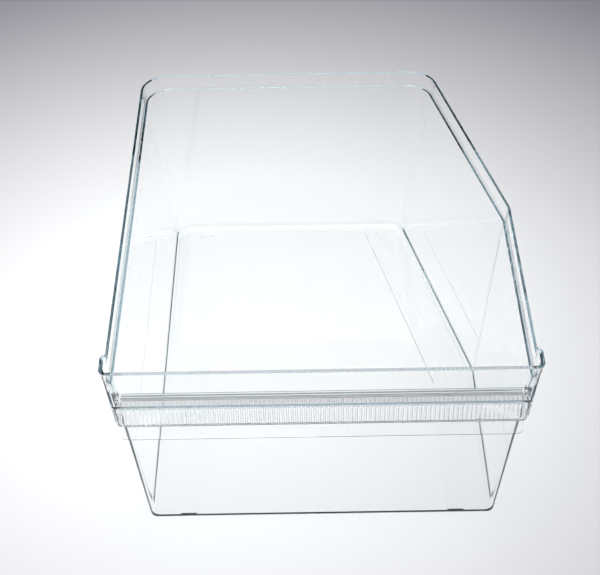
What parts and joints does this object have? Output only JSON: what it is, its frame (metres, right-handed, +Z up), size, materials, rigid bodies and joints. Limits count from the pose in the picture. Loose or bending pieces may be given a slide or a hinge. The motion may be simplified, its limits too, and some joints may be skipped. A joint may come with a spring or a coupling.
{
  "type": "salad storage box",
  "caption": "Clear open-topped drawer box with drafted walls, a long cut rear corner, a rim band, and a front finger pocket lined by a ribbed grip strip.",
  "frame": {"origin": "on the surface that the box stands on, midway between the sides and midway between the front face and the back rim", "axes": "+Z up, +Y from the front panel to the back, +X to the right as seen from the front"},
  "size_m": [0.254, 0.326, 0.138],
  "materials": {
    "clear_tub": "clear, polished",
    "clear_grip": "clear, polished, ribbed under its web"
  },
  "bodies": {
    "root": {"tub": "clear_tub", "grip_strip": "clear_grip"}
  },
  "joints": []
}
